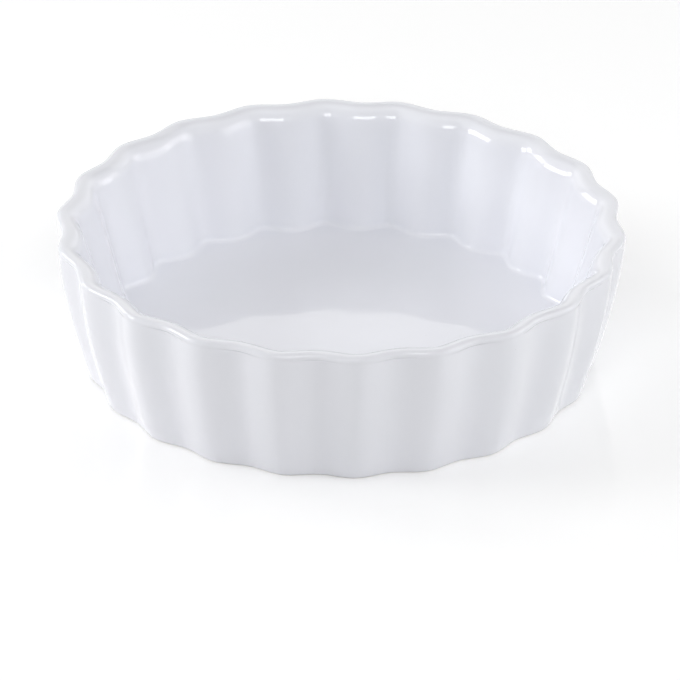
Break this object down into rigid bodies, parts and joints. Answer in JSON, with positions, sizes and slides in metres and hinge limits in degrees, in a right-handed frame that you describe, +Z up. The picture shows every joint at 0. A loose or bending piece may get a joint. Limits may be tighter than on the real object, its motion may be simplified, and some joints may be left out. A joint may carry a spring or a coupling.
{
  "type": "fluted quiche dish",
  "caption": "Round, deep, open baking dish for one portion in white glazed porcelain, with a fluted wall, a broad rounded rim, a flat floor and a low foot ring, for quiches, tarts and gratins.",
  "frame": {"origin": "centre of the foot, on the surface that the dish stands on", "axes": "+Z up along the dish's axis, out of its open top; +X through a flute crest"},
  "size_m": [0.12, 0.119, 0.0315],
  "materials": {
    "white_glaze": "gloss"
  },
  "bodies": {
    "root": {"dish": "white_glaze"}
  },
  "joints": []
}
